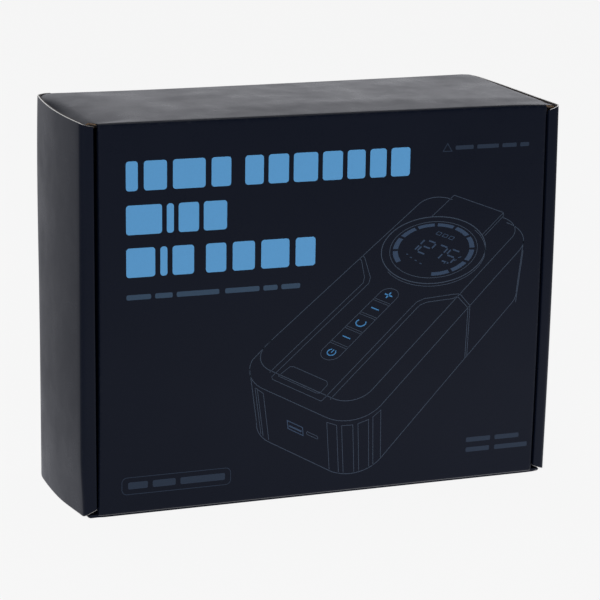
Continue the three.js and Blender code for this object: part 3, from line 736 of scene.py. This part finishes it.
def build_top():
    """The hinge wall with its corner flaps, and the crease that joins it to the lid."""
    # its underside is the darkened kraft copy, painted shade
    top = folded("hinge_board", end_wall_path(BEND, 1.2), 1, end_wall_reach(SEAM), lengthways,
                 [NAVY, SHADED_UNDER_KRAFT, BROWN_EDGE], 24, hinge_wear, (0, 2, 2, 2), extra=top_sag)
    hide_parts("hinge_wall", "hinge_corner_flap_left", "hinge_corner_flap_right")
    path = [(FRONT, LID_TOP), *arc((BEHIND, TALL - CREASE), CREASE, 180, 90), (SEAM, TALL)]
    crease = folded("lid_crease", path, 1, lid_reach, across, [NAVY, KRAFT, EDGE], 50, lid_wear, (0, 0, 2, 2),
                    body=None, extra=lambda p: top_sag(p, False))
    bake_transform(crease)


def build_base():
    """The back, and the tuck wall at the floor with its corner flaps."""
    turn = BACK - CREASE
    path = [*arc((turn, TALL - CREASE), CREASE, 90, 0), *arc((turn, CREASE), CREASE, 0, -90)]
    base = folded("base_board", path, 1, lambda a, b: (CORNER - HALF, HALF - CORNER), across,
                  [NAVY, KRAFT, EDGE], 24, base_wear)
    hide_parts("base_panel")
    path = [(-a, TALL - b) for a, b in end_wall_path(1.6, 1.6)]
    # the inner skin is navy print rather than kraft: a dark sheet as painted shade where the tuck wall's top
    # shows under the lid's curled foot
    tuck = folded("tuck_board", path, 1, end_wall_reach(FRONT + 1.6), lengthways, [NAVY, NAVY, EDGE], 24,
                  tuck_wear, (0, 0, 2, 2))
    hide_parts("tuck_wall", "tuck_corner_flap_left", "tuck_corner_flap_right")


def build_side_wall(word, side):
    """Round the back corner, along the outside, over the rolled front edge and back along the inside."""
    outer, inner = 2.8, 1.0  # radii of the rolled edge's two folds
    path = [(-HALF + CORNER, BACK), *arc((-HALF + CORNER, BACK - CORNER), CORNER, 90, 180, 8),
            *arc((-HALF + outer, FRONT + outer), outer, 180, 270, 8),
            *arc((-ROLL_IN - inner, FRONT + inner), inner, 270, 360), (-ROLL_IN, BACK - 3.2)]
    if side > 0:
        path = [(-x, y) for x, y in path]
    below, above = STRIP_ENDS[word]

    def reach(a, b):
        foot = 1.4 * ease((-b - 6.0) / 40.0)
        corner = math.hypot(abs(a) - (HALF - CORNER), b - (BACK - CORNER)) > CORNER - 0.5
        if b > -45.0 and (abs(a) > 121 or b > BACK - CORNER and corner):
            return (foot, TALL)
        inward = clamp((HALF - abs(a)) / (HALF - ROLL_IN))
        lowered = 6.0 * ease((b + 47.4) / 3.0) if abs(a) < 121 else 0.0
        return (foot + below * inward, TALL - above * inward ** 0.8 - lowered)

    def wear(a, b, w):
        front, back = near(b, FRONT, 1.8), near(b, BACK, 5)
        return max(2.2 * near(w, reach(a, b)[0], 0.55), near(abs(a), HALF, 1.6) * front, 0.7 * near(w, 0, 3),
                   0.6 * near(abs(a), HALF, 2.0) * back)

    # the inner skin is the near-black kraft copy: painted shade
    wall = folded(f"side_board_{word}", path, side, reach, upright, [NAVY, SHADED_KRAFT, PALE_EDGE], 48, wear)
    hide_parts(f"side_wall_{word}", f"rolled_edge_{word}", f"inner_wall_{word}")


# ---- Printing on the lid ----

def word(left, foot, widths, gap):
    """A word replaced by one plain block for each of its letters."""
    tall, shapes = 14.6, []
    for width in widths:
        shapes.append(rounded(left, foot, left + width, foot + tall, 1.5))
        left += width + gap
    return shapes


def bars(spans, height, radius):
    """Plain bars in place of small print, each span (left, right, foot)."""
    return [rounded(left, foot, right, foot + height, radius) for left, right, foot in spans]


def print_words():
    margin = -103.5
    title = word(margin, 164.0, (6.0, 11.6, 16.6, 10.1), 3.0)
    title += word(-43.0, 164.0, (9.6, 10.6, 12.8, 10.6, 9.6, 8.8, 10.3), 2.5)
    title += word(margin, 142.4, (18.1, 3.6, 10.4, 12.0), 2.4)
    title += word(margin, 121.2, (14.6, 3.6, 11.0), 2.6) + word(-63.0, 121.2, (10.5, 11.6, 14.8, 10.5), 3.3)
    printed("title_blocks", title, TITLE_INK)
    tag = ((margin, -91), (-89, -80), (-78, -56), (-53, -35), (-33, -25.5), (-23.5, -13.5))
    printed("tagline_bars", bars([(a, b, 110.0) for a, b in tag], 2.6, 0.8), TAG_INK)
    small = bars([(a, b, 176.0) for a, b in ((69, 79), (81, 93), (95, 103), (105, 110))], 2.1, 0.5)
    small += bars(((80.5, 94.5, 20.6), (97, 111, 20.6), (80.5, 94, 15.2), (97, 116, 15.2)), 2.5, 0.6)
    small += bars([(a, b, 13.6) for a, b in ((-103, -93), (-90.5, -78.5), (-76, -52.5))], 3.6, 0.8)
    printed("small_print_bars", small, FAINT_INK)
    ring = [(x, z) for x, _, z in rounded(-106, 11, -49.5, 19.7, 2.6, 6)[0]]
    sign = [(62.2, 175.4), (64.6, 179.4), (67, 175.4), (62.2, 175.4)]
    printed("badge_outline", [stroke([*ring, ring[0]], 0.35), stroke(sign, 0.4)], FAINT_INK)


# The device in its own frame, as drawn on the lid and as it lies in the insert
BODY = (200, 90, 22)  # length, width and corner radius
RECESS = 40  # height of the corner recesses
SPLIT = 43.8  # height where the sides end and the sloping shoulder starts
DECK = 52
KEY_TOP = 53
GLASS = 54
BRIDGE = 55
SCREEN_X = 40
DIAL = [137 - 30.4 * k for k in range(10)]  # directions of the segments round the screen
SEGMENTS = {"1": "bc", "2": "abged", "5": "afgcd", "7": "abc"}  # of a seven-segment digit
KEY_X = dict(zip(KEYS, range(-66, -9, 14)))


class Drawing:
    """Draws the device on the lid in perspective, from its own dimensions in millimetres."""

    def __init__(self):
        turn, rise, self.far, self.zoom = math.radians(34.9), math.radians(41.0), 601.0, 510.0
        self.middle = (39.5, 88.9)
        level = -math.cos(rise)
        self.back = Vector((math.cos(turn) * level, math.sin(turn) * level, math.sin(rise)))
        self.right = (-self.back).cross(Vector((0, 0, 1))).normalized()
        self.up = self.right.cross(-self.back)
        self.eye = self.back * self.far + Vector((0, 0, 25))
        self.shapes = {}

    def spot(self, x, y, z):
        ray = Vector((x, y, z)) - self.eye
        depth = ray.dot(-self.back)
        return (self.middle[0] + self.zoom * ray.dot(self.right) / depth,
                self.middle[1] + self.zoom * ray.dot(self.up) / depth)

    def line(self, points, width=0.3, group="line"):
        self.shapes.setdefault(group, []).append(stroke([self.spot(*p) for p in points], width))

    def patch(self, points, group):
        flat = [self.spot(*p) for p in points]
        self.shapes.setdefault(group, []).append(
            ([(x, INK, z) for x, z in flat], [tuple(range(len(flat)))]))


def outline(length, width, radius, z, start=0.0, end=360.0, steps=14):
    """Points of a rounded rectangle, by corner angle: 0 is +x, 90 is +y."""
    points = []
    for corner, (sx, sy) in enumerate(((1, 1), (-1, 1), (-1, -1), (1, -1))):
        for k in range(steps + 1):
            angle = 90 * corner + 90 * k / steps
            if start <= angle <= end:
                points.append((sx * (length / 2 - radius) + radius * math.cos(math.radians(angle)),
                               sy * (width / 2 - radius) + radius * math.sin(math.radians(angle)), z))
    return points


def circle(x, radius, z, start=0, end=360, steps=64):
    return [(x + radius * math.cos(math.radians(a)), radius * math.sin(math.radians(a)), z)
            for a in (start + (end - start) * k / steps for k in range(steps + 1))]


def seven(digit, x, y, height, width, z):
    """Seven-segment bars of a digit, as short lines. The digit's up is +x and it reads towards -y."""
    top, mid, low, left, right = x + height, x + height / 2, x, y, y - width
    ends = {"a": ((top, left), (top, right)), "b": ((top, right), (mid, right)),
            "c": ((mid, right), (low, right)), "d": ((low, left), (low, right)),
            "e": ((mid, left), (low, left)), "f": ((top, left), (mid, left)),
            "g": ((mid, left), (mid, right))}
    lit = []
    for name in SEGMENTS[digit]:
        (x0, y0), (x1, y1) = ends[name]
        lit.append([(x0 + (x1 - x0) * t, y0 + (y1 - y0) * t, z) for t in (0.14, 0.86)])
    return lit


def draw_body(d):
    right = [max(outline(*BODY, z, 270, 360, 60), key=lambda p: d.spot(*p)[0]) for z in (SPLIT, 0)]
    foot = outline(*BODY, 0, 126, 358, 20)
    d.line([p for p in foot if p[1] < 0 and p[0] <= right[1][0] or p[0] < 0], 0.34)
    d.line([(-74, 38.25, DECK), *outline(*BODY, SPLIT, 104, 360), (100, -21.5, SPLIT)], 0.34)
    d.line([outline(*BODY, z, 127, 134)[0] for z in (SPLIT, 0)], 0.34)
    d.line([(93.25, 20.5, DECK), *outline(186.5, 76.5, 15.5, DECK), (93.25, -21.5, DECK)], 0.34)
    d.line(right, 0.34)
    d.line([(x - 8, y - 4.5, z - 1) for x, y, z in right], 0.34)


def draw_bands(d):
    """Two double lines along the deck. The right pair runs on down the side."""
    for inset in (0, 3.4):
        y = 18.4 + inset
        start, bend, turn = -96.6 + inset * 0.6, -6 - inset * 0.4, -1 - inset * 0.5
        d.line([(start, -y, DECK), (bend, -y, DECK), (turn, -y - 2.4, DECK),
                (11 - inset, -34.5 - inset * 0.6, DECK), (13.5 - inset * 0.8, -38.2, DECK),
                (16 - inset * 0.7, -45, SPLIT), (18.5 - inset * 0.7, -45, 0)], 0.32)
        d.line([(start, y, DECK), (bend, y, DECK), (turn, y + 2.4, DECK), (13 - inset, 36, DECK),
                (14 - inset, 38.4, DECK)], 0.3)
    d.line([(-96.6, 18.4, DECK), (-97.2, 17.4, DECK - 1), (-97.2, -17.4, DECK - 1), (-96.6, -18.4, DECK)])


def draw_lamp(d):
    d.line([(-94.4, 15.5, DECK), (-85.5, 14.5, DECK), (-84.6, 12.5, DECK), (-84.6, -11.5, DECK),
            (-86.5, -13.5, DECK), (-93.5, -13.8, DECK), (-94.4, -12, DECK), (-94.4, 15.5, DECK)], 0.28)


def draw_screen(d):
    d.line(circle(SCREEN_X, 34.3, GLASS), 0.45)
    d.line(circle(SCREEN_X, 34.3, DECK, -205, -20))
    d.line(circle(SCREEN_X, 28.9, GLASS))
    for middle in DIAL:
        outer, inner = (circle(SCREEN_X, r, GLASS, middle - 12.8, middle + 12.8, 6) for r in (26.9, 23.6))
        d.patch([*outer, *reversed(inner)], "tick")
    for digit, y in (("1", 17.5), ("2", 8.5), ("7", -1.0), ("5", -10.5)):
        for bar in seven(digit, 32.5, y, 13, 7, GLASS):
            d.line(bar, 0.8, "digit")
    for k in range(3):
        left, right = 7.5 - 5 * k, 4.5 - 5 * k
        box = ((53.5, left), (56.5, left), (56.5, right), (53.5, right), (53.5, left))
        d.line([(x, y, GLASS) for x, y in box], 0.3, "digit")
    for x, y in ((27, 13), (25.5, 9), (24.5, 4.5), (23.5, 0)):
        d.line([(x, y, GLASS), (x, y - 1.6, GLASS)], 0.4, "digit")
    for x, y in ((36, -18), (40, -19), (31, -14)):
        d.line([(x, y, GLASS), (x + 2, y - 1.4, GLASS)], 0.4, "digit")


def draw_bridge(d):
    """The bridge behind the screen."""
    d.line([(66.5, 20, BRIDGE), (94.5, 20, BRIDGE), (94.5, -21, BRIDGE), (66.5, -21, BRIDGE)])
    d.line([(94.5, -21, BRIDGE), (94.5, -21, DECK), (70.5, -21, DECK)])


def draw_keys(d):
    """A long outline with round ends, the gaps between the keys, and a sign on each."""
    z, half = KEY_TOP, 6.2
    power, light, mode, minus, plus = KEY_X.values()
    row = [*circle(power, half, z, 90, 270, 12), *circle(plus, half, z, -90, 90, 12)]
    d.line([*row, row[0]])
    for x in (light, mode, minus, plus):
        for gap in (-7.8, -6.2):
            d.line([(x + gap, half, z), (x + gap, -half, z)], 0.26)
    d.line(circle(power, 2.5, z, 30, 330, 16), 0.5, "icon")
    d.line([(power + 2.5, 0, z), (power - 0.3, 0, z)], 0.5, "icon")
    d.line([(light, 2.8, z), (light, -2.8, z)], 0.55, "icon")
    d.line(circle(mode, 3.0, z, 60, 320, 16), 0.6, "icon")
    d.line([(minus, 2.8, z), (minus, -2.8, z)], 0.55, "icon")
    d.line([(plus, 2.8, z), (plus, -2.8, z)], 0.7, "icon")
    d.line([(plus - 2.8, 0, z), (plus + 2.8, 0, z)], 0.7, "icon")


def draw_ports(d):
    """The two sockets in the near end."""
    end = -BODY[0] // 2
    wide = ((6.4, 26.6), (-4.9, 26.6), (-4.9, 20), (6.4, 20), (6.4, 26.6))
    slim = ((-8.2, 25), (-15.4, 25), (-16.2, 23.8), (-15.4, 22.6), (-8.2, 22.6), (-7.6, 23.8), (-8.2, 25))
    d.line([(end, y, z) for y, z in wide], 0.45, "tick")
    d.line([(end, 5.4, 22.8), (end, -3.9, 22.8)], 0.8, "tick")
    d.line([(end, y, z) for y, z in slim], 0.28)


def draw_corners(d):
    """Recesses round the near corner, and the edges of those at the far one."""
    radius = BODY[2]
    for middle in (189, 213, 237, 261):
        (ax, ay), (bx, by) = arc((radius - 100, radius - 45), radius, middle - 8.2, middle + 8.2, 1)
        d.line([(ax, ay, 1.0), (ax, ay, RECESS), (bx, by, RECESS), (bx, by, 1.0)])
    for edge in (157, 162, 178):
        d.line([outline(*BODY, z, edge, edge + 7)[0] for z in (RECESS, 2)])
    d.line([outline(*BODY, RECESS, edge, edge + 7)[0] for edge in (157, 178)])


def print_drawing():
    drawing = Drawing()
    for draw in (draw_body, draw_bands, draw_lamp, draw_screen, draw_bridge, draw_keys, draw_ports,
                 draw_corners):
        draw(drawing)
    inks = {"line": LINE_INK, "tick": TICK_INK, "digit": TICK_INK, "icon": ICON_INK}
    for group, shapes in drawing.shapes.items():
        printed(f"drawing_{group}", shapes, inks[group])


# ---- Pieces inside the carton: the CAD nodes with their own materials, and small marks on them ----

def several(name, ends):
    return [f"{name}_{end}" for end in ends]


def finish_nodes():
    keys, cells = several("key", KEYS), several("battery_cell", (1, 2, 3))
    looks = {
        FLAP_DOWN: ["lid_tuck_flap"],
        FLAP_LEFT: ["lid_side_flap_left"],
        FLAP_RIGHT: ["lid_side_flap_right"],
        FOAM: ["foam_insert"],
        CARD: ["accessory_sleeve", "accessory_end_left", "accessory_end_right"],
        PAPER: ["manual_cover"],
        PAGES: ["manual_pages"],
        CASING: ["lower_casing", "upper_casing", "rear_bridge"],
        GLOSS: ["face_plate", "display_bezel", "display_module"],
        RUBBER: ["grip_pad_left", "grip_pad_right", "socket_cover"],
        LENS: ["display_lens"],
        KEY: keys,
        LAMP: ["lamp_lens"],
        CIRCUIT: ["key_board", "main_board"],
        STEEL: ["usb_a_port", "usb_c_port", "pump_motor", "motor_shaft", "pump_cylinder",
                *several("casing_screw", (1, 2, 3, 4))],
        BRASS: ["motor_pinion", "air_outlet"],
        WRAP: cells,
        SOCKET: ["jump_socket"],
        PUMP: ["pump_frame", "crank_gear", "pump_piston"],
    }
    rounds = {"foam_insert": 0.8, "lower_casing": 0.35, "upper_casing": 0.35, "rear_bridge": 0.6,
              "face_plate": 0.2, "grip_pad_left": 0.3, "grip_pad_right": 0.3, "socket_cover": 0.4,
              **dict.fromkeys(keys, 0.3), **dict.fromkeys(cells, 1.0), "lamp_lens": 0.3,
              "manual_cover": 0.12, "accessory_sleeve": 0.25, "pump_frame": 0.3}
    for material, names in looks.items():
        for name in names:
            node = NODES[name]
            node.data.materials.clear()
            node.data.materials.append(material)
            if name in rounds:
                soft = node.modifiers.new("soft_edges", "BEVEL")
                soft.width = rounds[name] * MM
                soft.segments = 2
                soft.limit_method = "ANGLE"
                soft.angle_limit = math.radians(40)
                soft.harden_normals = True


def unit_place(x, y, z):
    """Device frame to world, in millimetres, as in the CAD part: the screen faces -Y."""
    return (x - 7.0, 36.5 - z, y + 142.0)


def unit_mark(name, lines, width, z, material, body, slot):
    """Thin raised lines on the device's top, each a list of points that start with (x, y)."""
    verts, faces = merged(stroke([p[:2] for p in points], width) for points in lines)
    front_faced(name, [unit_place(x, y, z) for x, _, y in verts], faces, material, slot, body)


def mark_keys():
    power, light, mode, minus, plus = KEY_X.values()
    rays = [[(light + reach * math.cos(a), reach * math.sin(a)) for reach in (2.1, 3.2)]
            for a in (k * math.pi / 4 for k in range(8))]
    icons = {
        "power": ([circle(power, 2.6, 0, 35, 325, 20), [(power + 2.6, 0), (power - 0.4, 0)]], 0.6),
        "light": ([circle(light, 1.3, 0, 0, 360, 20), *rays], 0.5),
        "mode": ([circle(mode, 2.7, 0, 60, 320, 20)], 0.7),
        "minus": ([[(minus, 2.6), (minus, -2.6)]], 0.7),
        "plus": ([[(plus, 2.6), (plus, -2.6)], [(plus - 2.6, 0), (plus + 2.6, 0)]], 0.7),
    }
    for key, (lines, width) in icons.items():
        unit_mark(f"icon_{key}", lines, width, KEY_TOP + 0.03, KEY_MARK, f"{key}_key", "key_plastic")


def mark_screen():
    lit = 51.3  # height of the display's lit face
    dial = [circle(SCREEN_X, 24.2, 0, middle - 12.5, middle + 12.5, 8) for middle in DIAL]
    unit_mark("display_dial", dial, 2.4, lit, DISPLAY_LIT, "pack", "screen_glass")
    digits = []
    for digit, y in (("1", 15.5), ("2", 7.5), ("7", -1.0), ("5", -9.5)):
        digits += seven(digit, 33.5, y, 11.5, 6, 0)
    unit_mark("display_digits", digits, 1.1, lit, DISPLAY_LIT, "pack", "screen_glass")


# ---- Stage, lights and camera ----

def build_floor():
    """Pale paper. Its light falls off away from the object, which only the object's glossy sides show."""
    far, mesh = 14.0, bpy.data.meshes.new("floor")
    mesh.from_pydata([(-far, -far, 0), (far, -far, 0), (far, far, 0), (-far, far, 0)], [], [(0, 1, 2, 3)])
    floor = bpy.data.objects.new("floor", mesh)
    floor.location.z = -0.0003
    scene.collection.objects.link(floor)
    material = bpy.data.materials.new("floor_paper")
    material.use_nodes = True
    material.node_tree.nodes.clear()
    net = Net(material.node_tree)
    reach = net.make("ShaderNodeVectorMath", operation="DISTANCE")
    reach.inputs[1].default_value = (0.26, -0.22, 0.0)
    net.link(net.place.outputs["Object"], reach.inputs[0])
    fall = net.span(reach.outputs["Value"], 0.1, 0.62, 1.22, 0.47)
    glow = net.make("ShaderNodeEmission")
    strength, color = net.for_camera(0.905, fall, (0.945, 0.955, 1.03))
    net.link(strength, glow.inputs["Strength"])
    net.link(color, glow.inputs["Color"])
    matte = net.make("ShaderNodeBsdfDiffuse")
    matte.inputs["Color"].default_value = (0.035, 0.035, 0.035, 1)
    both = net.make("ShaderNodeAddShader")
    net.link(glow.outputs[0], both.inputs[0])
    net.link(matte.outputs[0], both.inputs[1])
    net.link(both.outputs[0], net.make("ShaderNodeOutputMaterial").inputs["Surface"])
    mesh.materials.append(material)


def build_world():
    """A pale backdrop all round. Its light is weaker overhead and from the front."""
    world = bpy.data.worlds.new("studio")
    scene.world = world
    world.use_nodes = True
    world.node_tree.nodes.clear()
    net = Net(world.node_tree)
    x, y, z = net.split(net.place.outputs["Generated"])
    level = net.math("MULTIPLY", net.span(y, -0.8, 0.4, 0.28, 1.06), net.span(z, 0.27, 0.50, 1.0, 0.22))
    level = net.math("MULTIPLY", level, net.span(x, 0.33, 0.42, 0.93, 1.05))
    light = net.make("ShaderNodeBackground")
    strength, color = net.for_camera(0.928, level, (0.94, 0.945, 1.0))
    net.link(strength, light.inputs["Strength"])
    net.link(color, light.inputs["Color"])
    net.link(light.outputs[0], net.make("ShaderNodeOutputWorld").inputs["Surface"])


def softbox(name, spot, size, power):
    """A rectangular lamp that faces the middle of the carton."""
    data = bpy.data.lights.new(name, "AREA")
    data.shape = "RECTANGLE"
    data.size, data.size_y = size
    data.energy = power
    lamp = bpy.data.objects.new(name, data)
    lamp.location = spot
    lamp.rotation_euler = (Vector((0, 0, 0.1)) - Vector(spot)).to_track_quat("-Z", "Y").to_euler()
    scene.collection.objects.link(lamp)


def build_camera():
    turn, rise, roll = (math.radians(v) for v in (-21.6, 13.31, 0.9))
    back = Vector((math.sin(turn) * math.cos(rise), -math.cos(turn) * math.cos(rise), math.sin(rise)))
    level = (-back).cross(Vector((0, 0, 1))).normalized()
    above = level.cross(-back)
    right = level * math.cos(roll) + above * math.sin(roll)
    up = above * math.cos(roll) - level * math.sin(roll)
    data = bpy.data.cameras.new("camera")
    data.lens = 143.8
    data.sensor_width = 36.0
    data.clip_start = 0.05
    data.clip_end = 60.0
    camera = bpy.data.objects.new("camera", data)
    matrix = Matrix((right, up, back)).transposed().to_4x4()
    matrix.translation = (-0.4437, -1.1348, 0.3802)
    camera.matrix_world = matrix
    scene.collection.objects.link(camera)
    scene.camera = camera


scene.view_settings.view_transform = "Standard"
build_camera()
build_floor()
build_world()
softbox("left_softbox", (-1.6, -0.2, 1.1), (1.2, 1.2), 2.0)
softbox("top_softbox", (0.2, 0.5, 1.9), (1.4, 1.0), 7.0)
softbox("front_softbox", (-0.7, -1.6, 1.0), (1.4, 1.2), 21.0)
build_lid()
build_top()
build_base()
build_side_wall("left", -1)
build_side_wall("right", 1)
print_words()
print_drawing()
finish_nodes()
mark_keys()
mark_screen()

bpy.context.view_layer.update()
